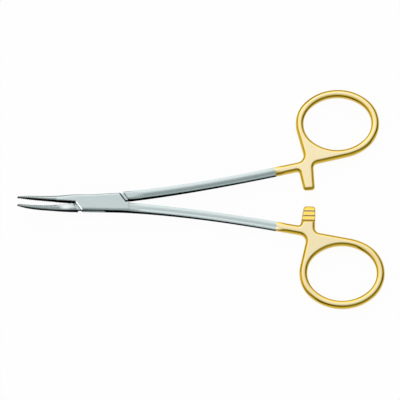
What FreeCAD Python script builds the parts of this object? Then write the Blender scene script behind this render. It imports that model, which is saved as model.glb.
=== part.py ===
import FreeCAD
import Part
import math
import os

# Hemostat forceps with a box lock, curved jaws and finger rings, in millimetres.
#
# Each half is drawn closed, in a frame of its own: X runs from the pivot to the rings, the two
# halves meet on the plane Y = 0, and Z = 0 is the middle of the instrument's thickness. The male
# half then turns one way about the pivot and the female half the other, to the slightly open
# position in which the instrument lies. The finished part stands on the underside of its box.

# Box lock
BOX_THICK = 4.6            # over the two cheeks
BOX_FRONT = 7.85           # pivot to the front edge of the cheeks, square to that edge
BOX_REAR = 8.2             # pivot to the rear edge of the cheeks, square to that edge
BOX_SIDE = 3.35            # middle line to the side of the box where the web comes out in front
FLARE_START_X = -4.5       # the other side runs on from the jaw, and from here flares to the rear
FLARE = 4.5                # degrees
WEB_THICK = 1.7            # the male half where it passes through the box
WEB_CLEARANCE = 0.04       # above and below the web
HUB_RADIUS = 2.85          # round middle of the web
HUB_CLEARANCE = 0.10       # from the hub to the ends of the slot
WEB_SIDE_GAP = 0.05        # from the web's arms to the plane where the halves meet
CHEEK_SLANT = 38.0         # degrees, the cheek edges against straight across
CHEEK_BEVEL = 0.6          # how far the cheek edges slope in
SHOULDER_SLANT = 31.0      # degrees, the male shoulders against straight across
SHOULDER_GAP = 1.2         # cheek edge to male shoulder
EDGE_ROUND = 0.8           # long edges of the box, and of the jaw and the shank where they leave it
BOX_OVERLAP = 2.0          # how far into the box the shank starts
WEB_OVERLAP = 2.0          # how far the web's arms run into the jaw and the shank

# Pivot pin
PIN_RADIUS = 1.1
PIN_CLEARANCE = 0.03       # in the web; the pin is tight in both cheeks

# Opening
OPEN_AT_REST = 4.8         # degrees between the halves as the instrument lies
OPEN_MOST = 66.0           # degrees between the halves when the web meets the end of the slot
PART_GAP = 0.03            # between the closed halves

# Jaws, as one pair that is parted down the middle
JAW_ROOT_X = 8.8           # pivot to the root of the jaws
JAW_HALF_WIDTH = 2.78      # of each jaw at the root
JAW_STRAIGHT = 4.2         # root to the start of the curve
JAW_CURVE = 33.0           # radius of the curve
JAW_REACH = 31.0           # pivot to the tips
JAW_TAPER_WIDTH = 3.8      # how much narrower the pair would be at the tips, before the nose
JAW_TAPER_HEIGHT = 1.8     # how much lower it would be there
JAW_NOSE = 0.72            # share of the length at which the rounded nose starts
JAW_TIP = 0.6              # share of the width and height that the nose leaves at the tips
JAW_STATIONS = (0, 0.06, 0.15, 0.27, 0.4, 0.55, 0.7, 0.8, 0.88, 0.94, 1)
JAW_EASE = 1.2             # power with which the taper sets in
JAW_ROUNDING = 3.2         # growth of the corner radius over the length of the jaw
JAW_BOW = 0.3              # each jaw stands off this far halfway along when the tips meet
BOW_START = 0.5            # from the corner of the cheek to the end of the bow

# Carbide inserts and their serrations
INSERT_LENGTH = 15.0       # along the jaw, from the tip
INSERT_THICK = 0.8         # from the middle line to the back of the insert, at its rear end
INSERT_TIP_THICK = 0.34    # the same at the tip
INSERT_ROOM = 1.2          # the room cut for the inserts, against their length
GROOVE_PITCH = 0.8
GROOVE_WIDTH = 0.64
GROOVE_DEPTH = 0.18

# Shanks
SHANK_START_X = 4.0        # where the line of the shank starts to bow out
SHANK_START_Y = 1.6
SHANK_BOW = 1.55           # power of the bow
PLATING_X = 67.2           # end of the shank, where the plating starts
PLATING_Y = 7.9
SHANK_ROOT_WIDTH = 3.4
SHANK_MID_WIDTH = 2.95
SHANK_END_WIDTH = 3.4
SHANK_STEP = 0.05          # the shank's faces below those of the box
SHANK_STATIONS = 12

# Finger rings
RING_X = 92.15             # pivot to the middle of each ring
RING_Y = 25.5              # closed: middle line to the middle of each ring
RING_HOLE_LENGTH = 26.0
RING_HOLE_WIDTH = 21.2
RING_END_RADIUS = 9.2      # of the hole, at both ends of its length
RING_BAND = 2.95
RING_TURN = -2.0           # degrees, far end of the ring towards the middle line
RING_THICK = 3.4
RING_ROUND = 1.25          # rounding of the ring and the end of the shank
OUTER_TANGENT = 193.8      # degrees, the way out of the ring where its outer side runs straight
INNER_TANGENT = 281.4      # degrees, the way out of the ring where its inner side runs straight
NOTCH_RADIUS = 2.8         # between the shank and the outer side of the ring

# Ratchet
ARM_LEFT_X = 77.5          # forward side of the arm at its tip
ARM_RIGHT_X = 81.8         # rear side of the arm
ARM_SPLAY = 9.0            # degrees, forward side of the arm
ARM_FORWARD_RADIUS = 1.0   # in the corner between the arm and the shank
ARM_REAR_RADIUS = 1.9      # in the corner between the arm and the ring
ARM_TIP_RADIUS = 1.2
ARM_LAP = 0.6              # how far the arms pass each other when the jaws first meet
TOOTH_PITCH = 1.8
TOOTH_DEPTH = 0.55
TOOTH_CATCH = 0.15         # how far the crests stand past the middle of the thickness
TOOTH_COUNT = 3

FAR = 200.0                # larger than any cut needs
CLEAR = 1.0                # how far a cut runs out past what it cuts
NEAR = 1e-3                # two places this close are one
SMALL = 1e-6               # smaller than any size or angle here

# Worked out from the sizes above
HALF_OPEN = OPEN_AT_REST / 2
HALF_GAP = PART_GAP / 2
CHEEK = (BOX_THICK - WEB_THICK) / 2
FACET = 22.5               # degrees from one facet of a rounded edge to the next
FIRST_CUT = RING_ROUND * (2 - math.sqrt(2))
SECOND_CUT = RING_ROUND * (math.tan(math.radians(FACET)) - math.tan(math.radians(FACET / 2)))
RING_END_SHIFT = RING_HOLE_LENGTH / 2 - RING_END_RADIUS
RING_SIDE_RADIUS = (RING_END_SHIFT ** 2 + (RING_HOLE_WIDTH / 2) ** 2 - RING_END_RADIUS ** 2) / (
    RING_HOLE_WIDTH - 2 * RING_END_RADIUS)
RING_SIDE_SHIFT = RING_SIDE_RADIUS - RING_HOLE_WIDTH / 2
RING_JOINT = math.degrees(math.atan2(RING_SIDE_SHIFT, RING_END_SHIFT))
MID = FreeCAD.Vector(0, 0, BOX_THICK / 2)
ORIGIN = FreeCAD.Vector(0, 0, 0)
X_AXIS = FreeCAD.Vector(1, 0, 0)
Y_AXIS = FreeCAD.Vector(0, 1, 0)
Z_AXIS = FreeCAD.Vector(0, 0, 1)


def heading(degrees):
    """The direction at this angle in the plane of the instrument."""
    turn = math.radians(degrees)
    return FreeCAD.Vector(math.cos(turn), math.sin(turn), 0)


def meeting(point, way, other_point, other_way):
    """Where two lines in the plane of the instrument cross."""
    apart = other_point - point
    cross = way.x * other_way.y - way.y * other_way.x
    run = (apart.x * other_way.y - apart.y * other_way.x) / cross
    return point + way * run


def plate(edges, low, high):
    """A closed outline, drawn at z = 0, as a plate from low to high."""
    face = Part.Face(Part.Wire(edges))
    face.translate(Z_AXIS * low)
    return face.extrude(Z_AXIS * (high - low))


def polygon(points):
    """The straight edges of a closed outline."""
    return Part.makePolygon(list(points) + [points[0]]).Edges


def beyond(direction, distance, low=-FAR, high=FAR, lean=0.0):
    """All that lies past a flat face, which is square to the direction and leans over at low."""
    block = Part.makeBox(FAR, 2 * FAR, high - low, FreeCAD.Vector(0, -FAR, 0))
    block.rotate(ORIGIN, Y_AXIS, -lean)
    block.rotate(ORIGIN, Z_AXIS, direction)
    block.translate(heading(direction) * distance + Z_AXIS * low)
    return block


def turned(shape, degrees, axis):
    """A copy, turned about an axis through the pivot."""
    copy = shape.copy()
    copy.rotate(ORIGIN, axis, degrees)
    return copy


def rounded_section(centre, across, up, width, height, radius):
    """The outline of a rounded bar, cut square: width lies across, height lies up."""
    arcs = []
    for quarter, (side, end) in enumerate([(1, 1), (-1, 1), (-1, -1), (1, -1)]):
        middle = centre + across * side * (width / 2 - radius) + up * end * (height / 2 - radius)
        points = []
        for step in (0, 45, 90):
            turn = math.radians(90 * quarter + step)
            points.append(middle + across * radius * math.cos(turn) + up * radius * math.sin(turn))
        arcs.append(points)
    edges = []
    for points, following in zip(arcs, arcs[1:] + arcs[:1]):
        edges.append(Part.Arc(*points).toShape())
        edges.append(Part.LineSegment(points[-1], following[0]).toShape())
    return Part.Wire(edges)


def faceted_section(centre, across, up, width, height, radius):
    """The same outline with three facets in place of each round corner."""
    reach = radius / math.cos(math.radians(FACET / 2))
    points = []
    for quarter, (side, end) in enumerate([(1, 1), (-1, 1), (-1, -1), (1, -1)]):
        middle = centre + across * side * (width / 2 - radius) + up * end * (height / 2 - radius)
        for facet in range(4):
            turn = math.radians(90 * quarter + (facet + 0.5) * FACET)
            points.append(middle + across * reach * math.cos(turn) + up * reach * math.sin(turn))
    return Part.makePolygon(points + [points[0]])


def rim(shape, height):
    """The edges that lie flat at this height."""
    found = []
    for edge in shape.Edges:
        box = edge.BoundBox
        if abs(box.ZMin - height) < NEAR and abs(box.ZMax - height) < NEAR:
            found.append(edge)
    return found


def uprights(shape, places):
    """The upright edges at these places."""
    found = []
    for edge in shape.Edges:
        box = edge.BoundBox
        if box.ZLength < NEAR or box.XLength + box.YLength > NEAR:
            continue
        middle = edge.CenterOfMass
        if any(math.hypot(middle.x - place.x, middle.y - place.y) < NEAR for place in places):
            found.append(edge)
    return found


def shank_line(x):
    """A point on the middle of the shank, and the direction of the shank there."""
    bow = (PLATING_Y - SHANK_START_Y) / (PLATING_X - SHANK_START_X) ** SHANK_BOW
    run = max(x - SHANK_START_X, SMALL)
    y = SHANK_START_Y + bow * run ** SHANK_BOW
    slope = bow * SHANK_BOW * run ** (SHANK_BOW - 1)
    return FreeCAD.Vector(x, y, 0), FreeCAD.Vector(1, slope, 0).normalize()


def shank_width(x):
    """Waisted: widest at the box and at the ring."""
    share = (x - SHANK_START_X) / (PLATING_X - SHANK_START_X)
    root = (SHANK_ROOT_WIDTH - SHANK_MID_WIDTH) * (1 - share) ** 2
    end = (SHANK_END_WIDTH - SHANK_MID_WIDTH) * share ** 3
    return SHANK_MID_WIDTH + root + end


def shank():
    """The bar from inside the box to the plating, drawn on the +Y side."""
    start = BOX_REAR - BOX_OVERLAP
    sections = []
    for step in range(SHANK_STATIONS):
        share = step / (SHANK_STATIONS - 1)
        x = start + (PLATING_X - start) * share
        middle, along = shank_line(x)
        thick = RING_THICK + (BOX_THICK - 2 * SHANK_STEP - RING_THICK) * (1 - share)
        corner = EDGE_ROUND + (RING_ROUND - EDGE_ROUND) * share
        across = Z_AXIS.cross(along)
        sections.append(faceted_section(middle, across, Z_AXIS, shank_width(x), thick, corner))
    return Part.makeLoft(sections, True, True)


def ring_arc(angle, band):
    """Middle and radius of the arc that faces this way, and the angle at which the arc ends."""
    turn = 180 * math.floor((angle + RING_JOINT) / 180)
    if angle < turn + RING_JOINT:
        return heading(turn) * RING_END_SHIFT, RING_END_RADIUS + band, turn + RING_JOINT
    return heading(turn - 90) * RING_SIDE_SHIFT, RING_SIDE_RADIUS + band, turn + 180 - RING_JOINT


def on_ring(middle, radius, angle):
    """A point of the oval, from its place about the middle of the ring."""
    tilt = FreeCAD.Rotation(Z_AXIS, RING_TURN)
    return FreeCAD.Vector(RING_X, RING_Y, 0) + tilt.multVec(middle + heading(angle) * radius)


def ring_edge(angle, band):
    """A point outside the hole by this distance, facing this way, and the direction of the edge."""
    middle, radius, end = ring_arc(angle, band)
    return on_ring(middle, radius, angle), heading(angle + RING_TURN + 90)


def ring_curve(start, stop, band):
    """The arcs of the oval from one way out to another, this far outside the hole."""
    arcs = []
    while start < stop - SMALL:
        middle, radius, end = ring_arc(start + SMALL, band)
        end = min(end, stop)
        points = [on_ring(middle, radius, angle) for angle in (start, (start + end) / 2, end)]
        arcs.append(Part.Arc(*points).toShape())
        start = end
    return arcs


def bevelled(blank, size, heights, end, along):
    """The rims at these heights, above and below, bevelled, but not where the shank joins on."""
    rims = []
    for height in heights:
        for edge in rim(blank, height) + rim(blank, -height):
            if abs((edge.CenterOfMass - end).dot(along)) > NEAR:
                rims.append(edge)
    return blank.makeChamfer(size, rims)


def handle():
    """Finger ring, the plate that joins it to the shank, and the blank of the ratchet arm."""
    end, along = shank_line(PLATING_X)
    across = Z_AXIS.cross(along)
    outer_start = end + across * SHANK_END_WIDTH / 2
    inner_start = end - across * SHANK_END_WIDTH / 2
    outer_tangent, outer_way = ring_edge(OUTER_TANGENT, RING_BAND)
    inner_tangent, inner_way = ring_edge(INNER_TANGENT - 360, RING_BAND)
    notch = meeting(outer_start, along, outer_tangent, outer_way)

    arm_rear = meeting(inner_tangent, inner_way, FreeCAD.Vector(ARM_RIGHT_X, 0, 0), Y_AXIS)
    tip_y = -ARM_LAP / 2
    arm_tip_left = FreeCAD.Vector(ARM_LEFT_X, tip_y, 0)
    arm_forward = meeting(inner_start, along, arm_tip_left, heading(90 + ARM_SPLAY))
    arm_tip_right = FreeCAD.Vector(ARM_RIGHT_X, tip_y, 0)

    round_end = ring_curve(INNER_TANGENT - 360, OUTER_TANGENT, RING_BAND)
    corners = [outer_tangent, notch, outer_start, inner_start, arm_forward, arm_tip_left,
               arm_tip_right, arm_rear, inner_tangent]
    straights = [Part.LineSegment(a, b).toShape() for a, b in zip(corners, corners[1:])]
    blank = plate(round_end + straights, -RING_THICK / 2, RING_THICK / 2)

    blank = blank.makeFillet(NOTCH_RADIUS, uprights(blank, [notch]))
    blank = blank.makeFillet(ARM_REAR_RADIUS, uprights(blank, [arm_rear]))
    blank = blank.makeFillet(ARM_FORWARD_RADIUS, uprights(blank, [arm_forward]))
    blank = blank.makeFillet(ARM_TIP_RADIUS, uprights(blank, [arm_tip_left, arm_tip_right]))
    blank = blank.cut(plate(ring_curve(-RING_JOINT, 360 - RING_JOINT, 0), -FAR, FAR))
    blank = bevelled(blank, FIRST_CUT, [RING_THICK / 2], end, along)
    return bevelled(blank, SECOND_CUT, [RING_THICK / 2, RING_THICK / 2 - FIRST_CUT], end, along)


def tooth_cut():
    """What is milled from under the male arm: half its thickness, down to a saw-tooth face."""
    tip_y = -ARM_LAP / 2
    crest = -TOOTH_CATCH
    root = crest + TOOTH_DEPTH
    outside = tip_y - CLEAR
    points = [FreeCAD.Vector(0, outside, -RING_THICK), FreeCAD.Vector(0, outside, root)]
    for tooth in range(TOOTH_COUNT):
        y = tip_y + tooth * TOOTH_PITCH
        points.append(FreeCAD.Vector(0, y, root))
        points.append(FreeCAD.Vector(0, y + TOOTH_PITCH, crest))
    last = tip_y + TOOTH_COUNT * TOOTH_PITCH
    points.append(FreeCAD.Vector(0, last, root))
    points.append(FreeCAD.Vector(0, last + TOOTH_PITCH / 2, root))
    points.append(FreeCAD.Vector(0, last + TOOTH_PITCH / 2, -RING_THICK))
    face = Part.Face(Part.makePolygon(points + [points[0]]))
    face.translate(X_AXIS * (ARM_LEFT_X - RING_BAND - CLEAR))
    return face.extrude(X_AXIS * (ARM_RIGHT_X - ARM_LEFT_X + 2 * (RING_BAND + CLEAR)))


def toothed_handle():
    """Handle and shank of the male half; turned over, they are those of the female half."""
    return handle().cut(tooth_cut()).fuse(shank())


def jaw_spine(run):
    """A point this far along the middle of the jaws from their root, and the way up there."""
    if run <= JAW_STRAIGHT:
        return FreeCAD.Vector(-JAW_ROOT_X - run, 0, 0), FreeCAD.Vector(0, 0, 1)
    turn = (run - JAW_STRAIGHT) / JAW_CURVE
    x = -JAW_ROOT_X - JAW_STRAIGHT - JAW_CURVE * math.sin(turn)
    z = JAW_CURVE * (1 - math.cos(turn))
    return FreeCAD.Vector(x, 0, z), FreeCAD.Vector(math.sin(turn), 0, math.cos(turn))


def jaw_length():
    """Length of the jaws along their curve."""
    reach = JAW_REACH - JAW_ROOT_X - JAW_STRAIGHT
    return JAW_STRAIGHT + JAW_CURVE * math.asin(reach / JAW_CURVE)


def jaw_pair():
    """Both jaws closed, as one tapering curved bar with a rounded nose."""
    length = jaw_length()
    sections = []
    for share in JAW_STATIONS:
        middle, up = jaw_spine(share * length)
        past_nose = max(share - JAW_NOSE, 0) / (1 - JAW_NOSE)
        nose = math.sqrt(1 - (1 - JAW_TIP ** 2) * past_nose ** 2)
        taper = share ** JAW_EASE
        width = (2 * JAW_HALF_WIDTH - JAW_TAPER_WIDTH * taper) * nose
        height = (BOX_THICK - JAW_TAPER_HEIGHT * taper) * nose
        corner = min(EDGE_ROUND + JAW_ROUNDING * taper, 0.46 * min(width, height))
        sections.append(rounded_section(middle, Y_AXIS, up, width, height, corner))
    return Part.makeLoft(sections, True, False)


def bow_start():
    """Pivot to where the bow of the jaws starts, just clear of the cheeks."""
    return BOX_FRONT / math.cos(math.radians(CHEEK_SLANT)) + BOW_START


def jaw_bow(x):
    """How far each grip face stands off the plane between the halves."""
    middle = (bow_start() + JAW_REACH) / 2
    half = (JAW_REACH - bow_start()) / 2
    return JAW_BOW * (1 - ((-x - middle) / half) ** 2)


def jaw_hollow():
    """The slim lens between the closed jaws, which meet first at their tips."""
    ends = [FreeCAD.Vector(-JAW_REACH, 0, 0), FreeCAD.Vector(-bow_start(), 0, 0)]
    middle = (ends[0] + ends[1]) / 2
    arcs = [Part.Arc(ends[0], middle + Y_AXIS * side * (JAW_BOW + HALF_GAP), ends[1]).toShape()
            for side in (1, -1)]
    return plate(arcs, -FAR, FAR)


def insert_room():
    """The space that both inserts take in the closed jaws: it narrows towards the tips."""
    start, up = jaw_spine(jaw_length() - INSERT_LENGTH)
    reach = INSERT_LENGTH * INSERT_ROOM
    end_thick = INSERT_THICK - (INSERT_THICK - INSERT_TIP_THICK) * INSERT_ROOM
    corners = [FreeCAD.Vector(0, INSERT_THICK, 0), FreeCAD.Vector(-reach, end_thick, 0),
               FreeCAD.Vector(-reach, -end_thick, 0), FreeCAD.Vector(0, -INSERT_THICK, 0)]
    room = plate(polygon(corners), -FAR, FAR)
    room.rotate(ORIGIN, Y_AXIS, math.degrees(math.atan2(up.x, up.z)))
    room.translate(start)
    return room


def grooves(offset):
    """V-grooves across the grip faces, square to the curve of the jaws."""
    length = jaw_length()
    count = int(INSERT_LENGTH / GROOVE_PITCH)
    cuts = []
    for number in range(1, count):
        middle, up = jaw_spine(length - INSERT_LENGTH + (number + offset) * GROOVE_PITCH)
        along = Y_AXIS.cross(up)
        depth = GROOVE_DEPTH + HALF_GAP + jaw_bow(middle.x)
        half = GROOVE_WIDTH / 2 * depth / GROOVE_DEPTH
        low = middle - up * BOX_THICK
        corners = [low - along * half, low + Y_AXIS * depth, low + along * half,
                   low - Y_AXIS * depth]
        face = Part.Face(Part.makePolygon(corners + [corners[0]]))
        cuts.append(face.extrude(up * 2 * BOX_THICK))
    return Part.makeCompound(cuts)


def box_blank():
    """The box before its slot, one side straight and the other flared, with long edges rounded."""
    front = -JAW_ROOT_X
    rear = BOX_REAR / math.cos(math.radians(CHEEK_SLANT)) + CHEEK_BEVEL
    flare = (rear - FLARE_START_X) * math.tan(math.radians(FLARE))
    corners = [FreeCAD.Vector(front, JAW_HALF_WIDTH, 0),
               FreeCAD.Vector(FLARE_START_X, JAW_HALF_WIDTH, 0),
               FreeCAD.Vector(rear, JAW_HALF_WIDTH + flare, 0),
               FreeCAD.Vector(rear, -BOX_SIDE, 0),
               FreeCAD.Vector(front, -BOX_SIDE, 0)]
    blank = plate(polygon(corners), -BOX_THICK / 2, BOX_THICK / 2)
    long_edges = []
    for edge in rim(blank, BOX_THICK / 2) + rim(blank, -BOX_THICK / 2):
        if edge.BoundBox.XLength > NEAR:
            long_edges.append(edge)
    return blank.makeFillet(EDGE_ROUND, long_edges)


def edge_trims(direction, distance):
    """What is cut away to leave slanted cheek edges, which are bevelled above and below."""
    lean = math.degrees(math.atan2(CHEEK_BEVEL, CHEEK))
    inner_face = BOX_THICK / 2 - CHEEK
    upper = beyond(direction, distance, inner_face, FAR, lean)
    lower = turned(beyond(-direction, distance, inner_face, FAR, lean), 180, X_AXIS)
    return [beyond(direction, distance), upper, lower]


def end_block(direction, side):
    """The solid end of the slot: past the hub, on one side of the plane between the halves."""
    return beyond(direction, HUB_RADIUS + HUB_CLEARANCE).common(beyond(side, HALF_GAP))


def slot_end_angle():
    """Direction of the slot's front end: the web's rear arm lies against it, fully open."""
    return 90 + rear_arm_slope() + OPEN_MOST


def rear_arm_slope():
    """Slope of the outer edge of the web's rear arm, from the hub to the shoulder."""
    shoulder_x = BOX_REAR + SHOULDER_GAP
    outer_y = shank_line(shoulder_x)[0].y + shank_width(shoulder_x) / 2 - EDGE_ROUND / 2
    straight = math.hypot(shoulder_x, outer_y)
    return math.degrees(math.atan2(outer_y, shoulder_x) - math.asin(HUB_RADIUS / straight))


def slot():
    """The way through the box, open to the front on one side and to the rear on the other."""
    half = WEB_THICK / 2 + WEB_CLEARANCE
    room = Part.makeBox(4 * BOX_REAR, 4 * BOX_REAR, 2 * half,
                        FreeCAD.Vector(-2 * BOX_REAR, -2 * BOX_REAR, -half))
    room = room.cut(end_block(slot_end_angle(), 90))
    return room.cut(end_block(slot_end_angle() + 180, -90))


def web():
    """The thin middle of the male half: a round hub with an arm to the jaw and one to the shank."""
    hub = Part.makeCylinder(HUB_RADIUS, WEB_THICK, Z_AXIS * (-WEB_THICK / 2))
    rear_way = heading(rear_arm_slope())
    rear_touch = heading(rear_arm_slope() + 90) * HUB_RADIUS
    rear_x = BOX_REAR + SHOULDER_GAP + WEB_OVERLAP
    front_x = -JAW_ROOT_X - WEB_OVERLAP
    front_y = -JAW_HALF_WIDTH + EDGE_ROUND / 2
    rear_far = rear_touch + rear_way * (rear_x / rear_way.x)
    rear_arm = polygon([FreeCAD.Vector(0, WEB_SIDE_GAP, 0), rear_touch, rear_far,
                        FreeCAD.Vector(rear_x, WEB_SIDE_GAP, 0)])
    front_arm = polygon([FreeCAD.Vector(0, -WEB_SIDE_GAP, 0), FreeCAD.Vector(0, -HUB_RADIUS, 0),
                         FreeCAD.Vector(front_x, front_y, 0),
                         FreeCAD.Vector(front_x, -WEB_SIDE_GAP, 0)])
    half = WEB_THICK / 2
    return hub.fuse([plate(rear_arm, -half, half), plate(front_arm, -half, half)])


def pin(radius):
    """The pivot pin, or the hole for it."""
    return Part.makeCylinder(radius, BOX_THICK, Z_AXIS * (-BOX_THICK / 2))


def female_half(front, rear):
    """Upper jaw, box, lower shank and lower ring."""
    front_trims = edge_trims(180 + CHEEK_SLANT, BOX_FRONT)
    rear_trims = edge_trims(CHEEK_SLANT, BOX_REAR)
    half = front
    for trim in front_trims:
        half = half.cut(trim.common(beyond(-90, -HALF_GAP)))
    for trim in rear_trims:
        half = half.cut(trim.common(beyond(90, -HALF_GAP)))
    half = half.fuse(turned(rear, 180, X_AXIS))
    return half.cut([slot(), pin(PIN_RADIUS), jaw_hollow()])


def male_half(jaws, rear):
    """Lower jaw, web, upper shank and upper ring."""
    jaw = jaws.common(beyond(-90, HALF_GAP))
    jaw = jaw.common(beyond(180 + SHOULDER_SLANT, BOX_FRONT + SHOULDER_GAP))
    bar = rear.common(beyond(SHOULDER_SLANT, BOX_REAR + SHOULDER_GAP))
    half = web().fuse([jaw, bar])
    return half.cut([pin(PIN_RADIUS + PIN_CLEARANCE), jaw_hollow()])


def placed(shape, opening):
    """A half as it lies: turned about the pivot and stood on the underside of the box."""
    solid = turned(shape.removeSplitter(), opening, Z_AXIS)
    solid.translate(MID)
    return solid


def build():
    """Every piece of the instrument, by name."""
    jaws = jaw_pair()
    rear = toothed_handle()
    female = female_half(box_blank().fuse(jaws), rear)
    male = male_half(jaws, rear)
    room = insert_room()
    upper_insert = female.common(room).cut(grooves(0.0))
    lower_insert = male.common(room).cut(grooves(0.5))
    return {
        "female_half": placed(female.cut(room), -HALF_OPEN),
        "male_half": placed(male.cut(room), HALF_OPEN),
        "pivot_pin": placed(pin(PIN_RADIUS), -HALF_OPEN),
        "upper_jaw_insert": placed(upper_insert, -HALF_OPEN),
        "lower_jaw_insert": placed(lower_insert, HALF_OPEN),
    }


def main():
    os.makedirs("parts", exist_ok=True)
    for name, shape in build().items():
        solid = shape.Solids[0] if len(shape.Solids) == 1 else shape
        box = solid.BoundBox
        print(name, "solids", len(shape.Solids), "valid", shape.isValid(),
              "volume %.2f" % shape.Volume, "box", [round(v, 2) for v in (
                  box.XMin, box.XMax, box.YMin, box.YMax, box.ZMin, box.ZMax)])
        solid.exportStep("parts/%s.step" % name)


main()
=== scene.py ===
import bmesh
import bpy
import math
from mathutils import Matrix, Vector

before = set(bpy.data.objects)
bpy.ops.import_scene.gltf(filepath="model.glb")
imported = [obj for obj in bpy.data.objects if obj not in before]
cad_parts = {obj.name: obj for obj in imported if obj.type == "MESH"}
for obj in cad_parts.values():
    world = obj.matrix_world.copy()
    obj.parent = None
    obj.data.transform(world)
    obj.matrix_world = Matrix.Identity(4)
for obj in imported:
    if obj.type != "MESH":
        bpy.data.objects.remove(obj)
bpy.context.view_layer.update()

# Hemostat forceps. The five pieces keep the shapes of the solids: this file gives them their
# finishes, and adds the light, the paper that they lie on and the camera.
#
# A side is 1 for the male half, whose ring is the upper one in the picture, and -1 for the female
# half. Where four numbers give a range, a value runs from the first to the second, and what
# follows from it runs from the third to the fourth.

# Sizes that the finishes share with the instrument, in metres and degrees
MM = 0.001
HALF_OPEN = 2.4                        # each half lies turned this far about the pivot
PIVOT_HEIGHT = 2.3 * MM                # middle of the instrument's thickness
PLATING_EDGE = (67.2 * MM, 7.9 * MM)   # middle of the shank where the plating starts, closed
PLATING_WAY = 8.6                      # the way of the shank there, closed
PLATING_BLUR = 0.04 * MM               # to either side of that edge
EDGE_SOFTNESS = 0.75 * MM              # over which two faces run into each other
EDGE_SAMPLES = 8
PIN_EDGE = (1.8 * MM, 2.6 * MM)        # round the pin, which is ground flush, nothing is softened

# Faces are told apart by the height of their normal, from 0 on an upright side to 1 on a flat top
SIDE = (0.50, 0.80)                    # from the sides, with painted shade, to the light faces that lie flat
WALL = (0.20, 0.45)                    # from the upright walls, which have no crown, to the rest

# Middle line of the shank, in millimetres, as it lies when the instrument is closed
SHANK_START = (4.0, 1.6)
SHANK_END = (67.2, 7.9)
SHANK_BOW = 1.55                       # power of its bow
SHANK_HALF_WIDTH = 1.6

# Crown of the shank: across it, from its inner edge, -1, to its outer edge, 1, and the sine of
# the outward slope there
MALE_CROWN = ((-1.00, -0.78), (-0.80, -0.60), (-0.60, -0.42), (-0.45, -0.27), (-0.20, -0.30),
              (0.07, -0.08), (0.33, 0.12), (0.60, 0.30), (0.87, 0.30), (1.00, 0.45))
FEMALE_CROWN = ((-1.00, -0.40), (-0.78, -0.26), (-0.45, -0.24), (-0.25, -0.02), (0.05, 0.06),
                (0.32, 0.10), (0.48, -0.18), (0.80, -0.22), (0.90, 0.40), (1.00, 0.75))
SHANK_CROWN_START = (11.0, 17.0)       # along the instrument, where the crown sets in
SHANK_CROWN_STOP = (67.0, 71.0)        # and where it runs out into the flat of the handle

# Finger ring, closed and in millimetres, with its crown across the band as for the shank
RING_MIDDLE = (92.15, 25.5)
RING_TURN = -2.0                       # degrees
RING_AXES = (14.475, 12.075)           # to the middle of the band, along and across
RING_HALF_BAND = 1.475
RING_REACH = (1.5, 1.6)                # half bands from its middle line at which the crown ends
RING_CROWN = ((-1.00, -0.85), (-0.86, -0.60), (-0.66, -0.36), (-0.36, -0.14), (0.05, 0.02),
              (0.28, 0.18), (0.45, 0.45), (0.66, 0.60), (0.80, 0.82), (1.00, 0.95))
RING_JOIN_WAY = 237.0                  # from the middle of the ring to the flat of the handle
RING_JOIN = (-0.10, 0.45)              # cosine against that way, from the crown to the flat
LEAST_SQUARE = 0.01                    # of the height of a crown's normal, so that it has a root

# Bevel along the front of the box's upper cheek, with a painted highlight
CHEEK_WAY = 218 - HALF_OPEN            # degrees: the way that it faces
CHEEK_FRONT = (7.15 * MM, 7.90 * MM)   # its two edges, from the pivot along that way
CHEEK_BLUR = 0.05 * MM                 # to either side of an edge
CHEEK_END = (0.2 * MM, 0.6 * MM)       # across the box, where it runs out
CHEEK_FACE = (0.2, 0.4)                # height of the normals over which it sets in
CHEEK_NORMAL = (-0.30, 0.10, 0.95)     # ground hollow, it catches the light from the left

# Hollow near the root of the lower jaw, with a painted highlight
HOLLOW_MIDDLE = (-13.2 * MM, -2.0 * MM)
HOLLOW_SIZE = (3.6 * MM, 1.5 * MM)     # half its length and half its width
HOLLOW_HIGHLIGHT_SHARE = (0.2, 1.0, 0.7, 0.0)   # from its middle to its rim, how strongly the highlight is painted and the normal tilted
HOLLOW_FACE = (0.5, 0.8)               # height of the normals over which it sets in
HOLLOW_NORMAL = (-0.05, 0.16, 0.98)

# Marks in the metals: the ranges run over the noise
NOISE_DETAIL = 4.0
MARK_SCALE = (260, 5200, 2600)         # grinding marks, long along the half and fine across it
MARK_TURN = 4                          # degrees that they lie past the way of the half
MARK_DEPTH = 0.01 * MM
MARK_STRENGTH = 0.5
CLOUD_SCALE = 240.0                    # in the plating
GRAIN_SCALE = 9000.0                   # of the carbide
MARK_SHARE = (0.30, 0.75, 0.00, 0.20)  # how strongly each is coloured
CLOUD_SHARE = (0.35, 0.75, 0.00, 0.08)
GRAIN_SHARE = (0.30, 0.70, 0.00, 0.15)
STEEL_ROUGHNESS = (0.30, 0.70, 0.26, 0.36)
GOLD_ROUGHNESS = (0.30, 0.70, 0.05, 0.09)
CARBIDE_ROUGHNESS = (0.30, 0.70, 0.30, 0.42)

# Colours
WHITE = (1.0, 1.0, 1.0, 1)
STEEL_TOP = (0.585, 0.670, 0.665, 1)
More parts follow.
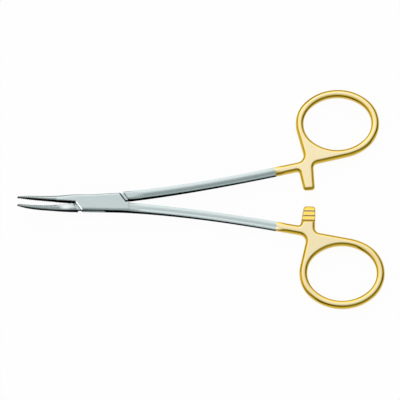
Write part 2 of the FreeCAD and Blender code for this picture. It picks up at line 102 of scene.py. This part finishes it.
# painted shade on the sides of the steel
STEEL_PAINTED_SHADE = (0.025, 0.034, 0.034, 1)
STEEL_MARK = (0.430, 0.490, 0.480, 1)
STEEL_PAINTED_HIGHLIGHT = (0.88, 0.92, 0.91, 1)   # painted highlight on the cheek bevel and the hollow of the lower jaw
GOLD_PAINTED_REFLECTIONS = ((0.09, (1.00, 0.86, 0.55, 1)), (0.19, (1.00, 0.72, 0.17, 1)),
        (0.36, (0.78, 0.50, 0.032, 1)), (0.48, (0.22, 0.14, 0.012, 1)),
        (0.58, (0.22, 0.14, 0.012, 1)), (0.70, (0.64, 0.42, 0.026, 1)))   # painted reflections and shade, by the sine of its slope
GOLD_CLOUD = (0.90, 0.62, 0.12, 1)
CARBIDE_TOP = (0.46, 0.49, 0.49, 1)
# painted shade on the sides of the carbide
CARBIDE_PAINTED_SHADE = (0.015, 0.020, 0.020, 1)
CARBIDE_MARK = (0.30, 0.32, 0.32, 1)
SIDE_SHINE_PAINTED_SHADE = (0.05, 0.05, 0.05, 1)     # painted shade: the tint of the shine of bare sides

# White paper under the instrument
FLOOR_WHITE = (0.98, 0.98, 0.98, 1)
FLOOR_GLOW = 0.955                     # share of plain white in it; the rest takes the shadow
FLOOR_RADIUS = 3.0
FLOOR_SIDES = 64

# Light tent: how bright it is by the cosine between a direction and TENT_WAY. It has a narrow
# dark seam in front, and a dimmer patch in the middle of its bright side.
TENT_WAY = (-0.50, 0.87, 0.00)         # towards its bright side
TENT = ((-1.00, 0.68), (-0.58, 0.68), (-0.50, 0.21), (-0.35, 0.21), (-0.24, 0.62), (0.00, 0.70),
        (0.25, 0.95), (0.55, 1.30), (0.90, 1.35), (0.95, 0.45), (1.00, 0.45))
TENT_SHADE = (0.90, 1.00, 0.99, 1)     # colour of its darker side
TENT_SHADE_END = (-0.6, 0.3)           # the same cosine, from that colour to white

# Camera, as the photograph was taken
CAMERA_TILT = 15.0                     # degrees from straight down
CAMERA_SIDE = 10.0                     # towards the rings, from straight below the picture
CAMERA_ROLL = 1.2
CAMERA_DISTANCE = 650 * MM
CAMERA_AIM = (37.94 * MM, 0.3 * MM, PIVOT_HEIGHT)
PICTURE_SCALE = 0.381 * MM             # of one pixel at the point that the camera looks at
PICTURE_SIZE = 400
SENSOR = 36.0


def feed(tree, socket, value):
    """Sets a socket to a number, vector or colour, or links another node's output to it."""
    if isinstance(value, bpy.types.NodeSocket):
        tree.links.new(value, socket)
    else:
        socket.default_value = value


def range_of(tree, value, low, high, to_low=0.0, to_high=1.0):
    """A value that runs from to_low to to_high while another runs from low to high."""
    node = tree.nodes.new("ShaderNodeMapRange")
    node.inputs["From Min"].default_value = low
    node.inputs["From Max"].default_value = high
    node.inputs["To Min"].default_value = to_low
    node.inputs["To Max"].default_value = to_high
    tree.links.new(value, node.inputs["Value"])
    return node.outputs["Result"]


def math_node(tree, operation, *values):
    """Arithmetic on values: a value is a number or another node's output."""
    node = tree.nodes.new("ShaderNodeMath")
    node.operation = operation
    for socket, value in zip(node.inputs, values):
        feed(tree, socket, value)
    return node.outputs["Value"]


def vector_node(tree, operation, *vectors):
    """Arithmetic on vectors: a vector is three numbers or another node's output."""
    node = tree.nodes.new("ShaderNodeVectorMath")
    node.operation = operation
    for socket, vector in zip(node.inputs, vectors):
        feed(tree, socket, vector)
    return node.outputs["Value" if operation in ("DOT_PRODUCT", "LENGTH") else "Vector"]


def scaled(tree, vector, factor):
    """A vector times a value."""
    node = tree.nodes.new("ShaderNodeVectorMath")
    node.operation = "SCALE"
    tree.links.new(vector, node.inputs[0])
    tree.links.new(factor, node.inputs["Scale"])
    return node.outputs["Vector"]


def levelled(tree, vector):
    """A vector without its height."""
    return vector_node(tree, "MULTIPLY", vector, (1, 1, 0))


def turned(tree, vector, degrees):
    """A vector turned about the vertical."""
    node = tree.nodes.new("ShaderNodeVectorRotate")
    node.rotation_type = "Z_AXIS"
    node.inputs["Angle"].default_value = math.radians(degrees)
    tree.links.new(vector, node.inputs["Vector"])
    return node.outputs["Vector"]


def split(tree, vector):
    """The three numbers of a vector."""
    node = tree.nodes.new("ShaderNodeSeparateXYZ")
    tree.links.new(vector, node.inputs["Vector"])
    return node.outputs["X"], node.outputs["Y"], node.outputs["Z"]


def joined(tree, *values):
    """A vector from three values: a value is a number or another node's output."""
    node = tree.nodes.new("ShaderNodeCombineXYZ")
    for socket, value in zip(node.inputs, values):
        feed(tree, socket, value)
    return node.outputs["Vector"]


def mixed(tree, share, first, second):
    """One vector goes over to another."""
    node = tree.nodes.new("ShaderNodeMix")
    node.data_type = "VECTOR"
    tree.links.new(share, node.inputs["Factor"])
    ends = [socket for socket in node.inputs if socket.type == "VECTOR"]
    tree.links.new(first, ends[-2])
    tree.links.new(second, ends[-1])
    return [socket for socket in node.outputs if socket.type == "VECTOR"][0]


def blend(tree, share, first, second):
    """One colour goes over to another. A colour is four numbers or another node's output."""
    node = tree.nodes.new("ShaderNodeMix")
    node.data_type = "RGBA"
    tree.links.new(share, node.inputs["Factor"])
    ends = [socket for socket in node.inputs if socket.type == "RGBA"]
    for socket, colour in zip(ends, (first, second)):
        feed(tree, socket, colour)
    return [socket for socket in node.outputs if socket.type == "RGBA"][0]


def shades(tree, value, colours):
    """The colours that belong to a value from 0 to 1, running into each other."""
    node = tree.nodes.new("ShaderNodeValToRGB")
    stops = node.color_ramp.elements
    for number, (position, colour) in enumerate(colours):
        stop = stops[number] if number < 2 else stops.new(position)
        stop.position = position
        stop.color = colour
    tree.links.new(value, node.inputs["Fac"])
    return node.outputs["Color"]


def curve(tree, value, points):
    """A value that follows another, from -1 to 1, along a line of points."""
    heights = [point[1] for point in points]
    least, most = min(heights), max(heights)
    greys = []
    for start, height in points:
        share = (height - least) / (most - least)
        greys.append(((start + 1) / 2, (share, share, share, 1)))
    line = shades(tree, range_of(tree, value, -1.0, 1.0), greys)
    return range_of(tree, line, 0.0, 1.0, least, most)


def noise(tree, place, scale, stretch=(1, 1, 1), turn=0.0):
    """Noise on the piece, which may be drawn out along one way."""
    mapping = tree.nodes.new("ShaderNodeMapping")
    mapping.inputs["Scale"].default_value = stretch
    mapping.inputs["Rotation"].default_value = (0, 0, math.radians(turn))
    tree.links.new(place, mapping.inputs["Vector"])
    texture = tree.nodes.new("ShaderNodeTexNoise")
    texture.inputs["Scale"].default_value = scale
    texture.inputs["Detail"].default_value = NOISE_DETAIL
    tree.links.new(mapping.outputs["Vector"], texture.inputs["Vector"])
    return texture.outputs["Fac"]


def changed_space(tree, normal, before, after):
    """A normal of the piece as one of the room, or the other way round."""
    node = tree.nodes.new("ShaderNodeVectorTransform")
    node.vector_type = "NORMAL"
    node.convert_from = before
    node.convert_to = after
    tree.links.new(normal, node.inputs["Vector"])
    return node.outputs["Vector"]


def facing_up(tree, normal, low, high):
    """1 on faces that look up, and 0 on the sides and below."""
    return range_of(tree, split(tree, normal)[2], low, high)


def lying_flat(tree, normal, low, high):
    """1 on faces that lie flat, above or below, and 0 on the sides."""
    return range_of(tree, math_node(tree, "ABSOLUTE", split(tree, normal)[2]), low, high)


def soft_normal(tree, place):
    """The normal of the piece, rounded a little where two faces meet, but not at the pin."""
    edges = tree.nodes.new("ShaderNodeBevel")
    edges.samples = EDGE_SAMPLES
    edges.inputs["Radius"].default_value = EDGE_SOFTNESS
    out = vector_node(tree, "LENGTH", levelled(tree, place))
    true_normal = tree.nodes.new("ShaderNodeNewGeometry").outputs["Normal"]
    normal = mixed(tree, range_of(tree, out, *PIN_EDGE), true_normal, edges.outputs["Normal"])
    return changed_space(tree, normal, "WORLD", "OBJECT")


def shank_crown(tree, closed, profile):
    """How the face of the shank slopes away to both sides, and where the crown is.

    The slope is a vector, longest at the edges of the shank.
    """
    x, y = split(tree, closed)[:2]
    run = math_node(tree, "MAXIMUM", math_node(tree, "SUBTRACT", x, SHANK_START[0]), 0.0)
    bow = (SHANK_END[1] - SHANK_START[1]) / (SHANK_END[0] - SHANK_START[0]) ** SHANK_BOW
    middle = math_node(tree, "MULTIPLY", math_node(tree, "POWER", run, SHANK_BOW), bow)
    middle = math_node(tree, "ADD", middle, SHANK_START[1])
    power = math_node(tree, "POWER", run, SHANK_BOW - 1)
    slant = math_node(tree, "MULTIPLY", power, -bow * SHANK_BOW)
    across = math_node(tree, "DIVIDE", math_node(tree, "SUBTRACT", y, middle), SHANK_HALF_WIDTH)
    start = range_of(tree, x, *SHANK_CROWN_START)
    stop = range_of(tree, x, *SHANK_CROWN_STOP, 1.0, 0.0)
    mask = math_node(tree, "MULTIPLY", start, stop)
    way = vector_node(tree, "NORMALIZE", joined(tree, slant, 1.0, 0.0))
    steepness = math_node(tree, "MULTIPLY", curve(tree, across, profile), mask)
    return scaled(tree, way, steepness), mask


def ring_crown(tree, closed):
    """The same for the finger ring, but not where the shank joins on."""
    a, b = RING_AXES
    out = vector_node(tree, "SUBTRACT", closed, (*RING_MIDDLE, 0.0))
    out = levelled(tree, turned(tree, out, -RING_TURN))
    oval = vector_node(tree, "MULTIPLY", out, (1 / a, 1 / b, 0))
    steep = vector_node(tree, "MULTIPLY", oval, (1 / a, 1 / b, 0))
    reach = vector_node(tree, "LENGTH", oval)
    past = math_node(tree, "MULTIPLY", math_node(tree, "SUBTRACT", reach, 1.0), reach)
    past = math_node(tree, "DIVIDE", past, vector_node(tree, "LENGTH", steep))
    across = math_node(tree, "DIVIDE", past, RING_HALF_BAND)
    near = range_of(tree, math_node(tree, "ABSOLUTE", across), *RING_REACH, 1.0, 0.0)
    join = math.radians(RING_JOIN_WAY)
    join = (math.cos(join), math.sin(join), 0)
    towards = vector_node(tree, "DOT_PRODUCT", vector_node(tree, "NORMALIZE", out), join)
    mask = math_node(tree, "MULTIPLY", range_of(tree, towards, *RING_JOIN, 1.0, 0.0), near)
    way = turned(tree, vector_node(tree, "NORMALIZE", steep), RING_TURN)
    steepness = math_node(tree, "MULTIPLY", curve(tree, across, RING_CROWN), mask)
    return scaled(tree, way, steepness), mask


def crowned_normal(tree, place, side):
    """The soft normal, with the crown of the shank and of the ring on the faces that lie flat."""
    soft = soft_normal(tree, place)
    closed = turned(tree, place, -side * HALF_OPEN)
    closed = vector_node(tree, "MULTIPLY", closed, (1 / MM, side / MM, 1 / MM))
    shank, shank_mask = shank_crown(tree, closed, MALE_CROWN if side > 0 else FEMALE_CROWN)
    ring, ring_mask = ring_crown(tree, closed)
    slope = vector_node(tree, "MULTIPLY", vector_node(tree, "ADD", shank, ring), (1, side, 0))
    slope = turned(tree, slope, side * HALF_OPEN)
    square = math_node(tree, "SUBTRACT", 1.0, vector_node(tree, "DOT_PRODUCT", slope, slope))
    height = math_node(tree, "SQRT", math_node(tree, "MAXIMUM", square, LEAST_SQUARE))
    above = math_node(tree, "SIGN", split(tree, soft)[2])
    height = math_node(tree, "MULTIPLY", height, above)
    crown = vector_node(tree, "ADD", slope, joined(tree, 0.0, 0.0, height))
    mask = math_node(tree, "ADD", shank_mask, ring_mask)
    mask = math_node(tree, "MULTIPLY", mask, lying_flat(tree, soft, *WALL))
    return vector_node(tree, "NORMALIZE", mixed(tree, mask, soft, crown))


def past_plating_edge(tree, place, side):
    """1 on the plated end of a half and 0 on the bare steel."""
    turn = math.radians(HALF_OPEN)
    way = math.radians(PLATING_WAY + HALF_OPEN)
    x, y = PLATING_EDGE
    edge = Vector((x * math.cos(turn) - y * math.sin(turn), x * math.sin(turn) + y * math.cos(turn)))
    square = Vector((math.cos(way), math.sin(way)))
    start = edge.dot(square)
    along = vector_node(tree, "DOT_PRODUCT", place, (square.x, side * square.y, 0))
    return range_of(tree, along, start - PLATING_BLUR, start + PLATING_BLUR)


def cheek_bevel(tree, place, normal):
    """1 on the bevel along the front of the box's upper cheek, where a highlight is painted."""
    way = math.radians(CHEEK_WAY)
    along = vector_node(tree, "DOT_PRODUCT", place, (math.cos(way), math.sin(way), 0))
    start, end = CHEEK_FRONT
    past_start = range_of(tree, along, start - CHEEK_BLUR, start + CHEEK_BLUR)
    before_end = range_of(tree, along, end - CHEEK_BLUR, end + CHEEK_BLUR, 1.0, 0.0)
    band = math_node(tree, "MULTIPLY", past_start, before_end)
    run_out = range_of(tree, split(tree, place)[1], *CHEEK_END, 1.0, 0.0)
    band = math_node(tree, "MULTIPLY", band, run_out)
    return math_node(tree, "MULTIPLY", band, facing_up(tree, normal, *CHEEK_FACE))


def jaw_hollow(tree, place, normal):
    """How strongly a highlight is painted on the lower jaw near its root, where it is ground a little
    hollow.
    """
    out = vector_node(tree, "SUBTRACT", place, (*HOLLOW_MIDDLE, 0.0))
    length, width = HOLLOW_SIZE
    oval = vector_node(tree, "MULTIPLY", out, (1 / length, 1 / width, 0))
    share = range_of(tree, vector_node(tree, "LENGTH", oval), *HOLLOW_HIGHLIGHT_SHARE)
    return math_node(tree, "MULTIPLY", share, facing_up(tree, normal, *HOLLOW_FACE))


def grinding_marks(tree, place, side):
    """Fine marks along the box and the shank of a half."""
    return noise(tree, place, 1.0, MARK_SCALE, -side * (HALF_OPEN + MARK_TURN))


def steel_colour(tree, normal, marks):
    """Satin steel with fine marks: light where it lies flat, with painted shade on its sides."""
    steel = blend(tree, range_of(tree, marks, *MARK_SHARE), STEEL_TOP, STEEL_MARK)
    return blend(tree, lying_flat(tree, normal, *SIDE), STEEL_PAINTED_SHADE, steel)


def gold_colour(tree, normal, clouds):
    """Polished gold, with painted reflections and shade in streaks by its slope, and faint clouds."""
    slope = vector_node(tree, "LENGTH", levelled(tree, normal))
    gold = shades(tree, slope, GOLD_PAINTED_REFLECTIONS)
    return blend(tree, range_of(tree, clouds, *CLOUD_SHARE), gold, GOLD_CLOUD)


def shade_side_shine(tree, surface, normal, plated=0.0):
    """Painted shade: the shine of the bare metal's sides is tinted dark, but not on flat faces or the
    plating.
    """
    unshaded = math_node(tree, "MAXIMUM", lying_flat(tree, normal, *SIDE), plated)
    tree.links.new(blend(tree, unshaded, SIDE_SHINE_PAINTED_SHADE, WHITE), surface.inputs["Specular Tint"])


def grind(tree, surface, normal, marks):
    """Cuts the grinding marks into the surface."""
    node = tree.nodes.new("ShaderNodeBump")
    node.inputs["Distance"].default_value = MARK_DEPTH
    node.inputs["Strength"].default_value = MARK_STRENGTH
    tree.links.new(marks, node.inputs["Height"])
    tree.links.new(changed_space(tree, normal, "OBJECT", "WORLD"), node.inputs["Normal"])
    tree.links.new(node.outputs["Normal"], surface.inputs["Normal"])


def new_metal(name):
    """A bare metal: the finish, its nodes, its surface and the place on the piece."""
    finish = bpy.data.materials.new(name)
    finish.use_nodes = True
    tree = finish.node_tree
    surface = tree.nodes["Principled BSDF"]
    surface.inputs["Metallic"].default_value = 1
    place = tree.nodes.new("ShaderNodeTexCoord").outputs["Object"]
    return finish, tree, surface, place


def half_finish(name, side):
    """Satin steel with fine grinding marks, gold plated from the end of the shank, with painted
    shade, highlights and reflections.
    """
    finish, tree, surface, place = new_metal(name)
    normal = crowned_normal(tree, place, side)
    plated = past_plating_edge(tree, place, side)
    if side > 0:
        hollow_and_painted_highlight = jaw_hollow(tree, place, normal)
        hollow_normal = HOLLOW_NORMAL
    else:
        hollow_and_painted_highlight = cheek_bevel(tree, place, normal)
        hollow_normal = CHEEK_NORMAL
    normal = mixed(tree, hollow_and_painted_highlight, normal, joined(tree, *hollow_normal))
    marks = grinding_marks(tree, place, side)
    clouds = noise(tree, place, CLOUD_SCALE)

    # painted highlight on the cheek bevel of the female half and the jaw hollow of the male half
    steel = blend(tree, hollow_and_painted_highlight, steel_colour(tree, normal, marks), STEEL_PAINTED_HIGHLIGHT)
    colour = blend(tree, plated, steel, gold_colour(tree, normal, clouds))
    tree.links.new(colour, surface.inputs["Base Color"])
    shade_side_shine(tree, surface, normal, plated)

    steel_rough = range_of(tree, marks, *STEEL_ROUGHNESS)
    gold_rough = range_of(tree, clouds, *GOLD_ROUGHNESS)
    difference = math_node(tree, "SUBTRACT", gold_rough, steel_rough)
    difference = math_node(tree, "MULTIPLY", difference, plated)
    rough = math_node(tree, "ADD", steel_rough, difference)
    tree.links.new(rough, surface.inputs["Roughness"])

    bare = math_node(tree, "SUBTRACT", 1.0, plated)
    grind(tree, surface, normal, math_node(tree, "MULTIPLY", marks, bare))
    return finish


def pin_finish():
    """The steel of the box, as the pin is ground flush with it."""
    finish, tree, surface, place = new_metal("pivot_steel")
    normal = soft_normal(tree, place)
    marks = grinding_marks(tree, place, -1)
    tree.links.new(steel_colour(tree, normal, marks), surface.inputs["Base Color"])
    shade_side_shine(tree, surface, normal)
    tree.links.new(range_of(tree, marks, *STEEL_ROUGHNESS), surface.inputs["Roughness"])
    grind(tree, surface, normal, marks)
    return finish


def carbide_finish():
    """Ground carbide: greyer than the steel, with a fine even grain and painted shade on its sides.
    """
    finish, tree, surface, place = new_metal("ground_carbide")
    normal = soft_normal(tree, place)
    grain = noise(tree, place, GRAIN_SCALE)
    colour = blend(tree, lying_flat(tree, normal, *SIDE), CARBIDE_PAINTED_SHADE, CARBIDE_TOP)
    colour = blend(tree, range_of(tree, grain, *GRAIN_SHARE), colour, CARBIDE_MARK)
    tree.links.new(colour, surface.inputs["Base Color"])
    shade_side_shine(tree, surface, normal)
    tree.links.new(range_of(tree, grain, *CARBIDE_ROUGHNESS), surface.inputs["Roughness"])
    tree.links.new(changed_space(tree, normal, "OBJECT", "WORLD"), surface.inputs["Normal"])
    return finish


def dress(node, finish):
    """Gives a piece of the instrument its finish."""
    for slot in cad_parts[node].material_slots:
        slot.material = finish


def paper_finish():
    """White paper: seen and mirrored as white, and it keeps a faint shadow."""
    finish = bpy.data.materials.new("white_paper")
    finish.use_nodes = True
    tree = finish.node_tree
    paper = tree.nodes["Principled BSDF"]
    paper.inputs["Base Color"].default_value = FLOOR_WHITE
    paper.inputs["Roughness"].default_value = 1
    paper.inputs["Specular IOR Level"].default_value = 0
    glow = tree.nodes.new("ShaderNodeEmission")
    glow.inputs["Strength"].default_value = 1.0
    rays = tree.nodes.new("ShaderNodeLightPath").outputs
    seen = math_node(tree, "MAXIMUM", rays["Is Camera Ray"], rays["Is Glossy Ray"])
    seen = math_node(tree, "MAXIMUM", seen, rays["Is Transmission Ray"])
    mix = tree.nodes.new("ShaderNodeMixShader")
    tree.links.new(math_node(tree, "MULTIPLY", seen, FLOOR_GLOW), mix.inputs["Fac"])
    tree.links.new(paper.outputs["BSDF"], mix.inputs[1])
    tree.links.new(glow.outputs["Emission"], mix.inputs[2])
    tree.links.new(mix.outputs["Shader"], tree.nodes["Material Output"].inputs["Surface"])
    return finish


def lay_floor():
    """The paper that the instrument lies on."""
    sheet = bmesh.new()
    bmesh.ops.create_circle(sheet, cap_ends=True, segments=FLOOR_SIDES, radius=FLOOR_RADIUS)
    data = bpy.data.meshes.new("floor")
    sheet.to_mesh(data)
    sheet.free()
    data.materials.append(paper_finish())
    piece = bpy.data.objects.new("floor", data)
    bpy.context.scene.collection.objects.link(piece)


def light_room():
    """A light tent all round, bright behind and to the left, with a dark seam in front."""
    world = bpy.data.worlds.new("light_tent")
    bpy.context.scene.world = world
    world.use_nodes = True
    tree = world.node_tree
    way = tree.nodes.new("ShaderNodeTexCoord").outputs["Generated"]
    towards = vector_node(tree, "DOT_PRODUCT", way, tuple(Vector(TENT_WAY).normalized()))
    shade = range_of(tree, towards, *TENT_SHADE_END)
    sky = tree.nodes["Background"]
    tree.links.new(blend(tree, shade, TENT_SHADE, WHITE), sky.inputs["Color"])
    tree.links.new(curve(tree, towards, TENT), sky.inputs["Strength"])


def place_camera():
    """Looks down on the instrument as the photograph does."""
    tilt = math.radians(CAMERA_TILT)
    side = math.radians(CAMERA_SIDE)
    roll = math.radians(CAMERA_ROLL)
    back = Vector((math.sin(tilt) * math.sin(side), -math.sin(tilt) * math.cos(side), math.cos(tilt)))
    level = Vector((1, 0, 0))
    level = (level - back * level.dot(back)).normalized()
    upright = back.cross(level)
    right = level * math.cos(roll) - upright * math.sin(roll)
    up = upright * math.cos(roll) + level * math.sin(roll)
    lens = bpy.data.cameras.new("camera")
    lens.sensor_width = SENSOR
    lens.lens = SENSOR * CAMERA_DISTANCE / (PICTURE_SCALE * PICTURE_SIZE)
    camera = bpy.data.objects.new("camera", lens)
    turn = Matrix((right, up, back)).transposed().to_4x4()
    camera.matrix_world = Matrix.Translation(Vector(CAMERA_AIM) + back * CAMERA_DISTANCE) @ turn
    bpy.context.scene.collection.objects.link(camera)
    bpy.context.scene.camera = camera


dress("male_half", half_finish("male_half_steel_and_gold", 1))
dress("female_half", half_finish("female_half_steel_and_gold", -1))
dress("pivot_pin", pin_finish())
carbide = carbide_finish()
dress("upper_jaw_insert", carbide)
dress("lower_jaw_insert", carbide)

lay_floor()
light_room()
place_camera()

bpy.context.scene.view_settings.view_transform = "Standard"
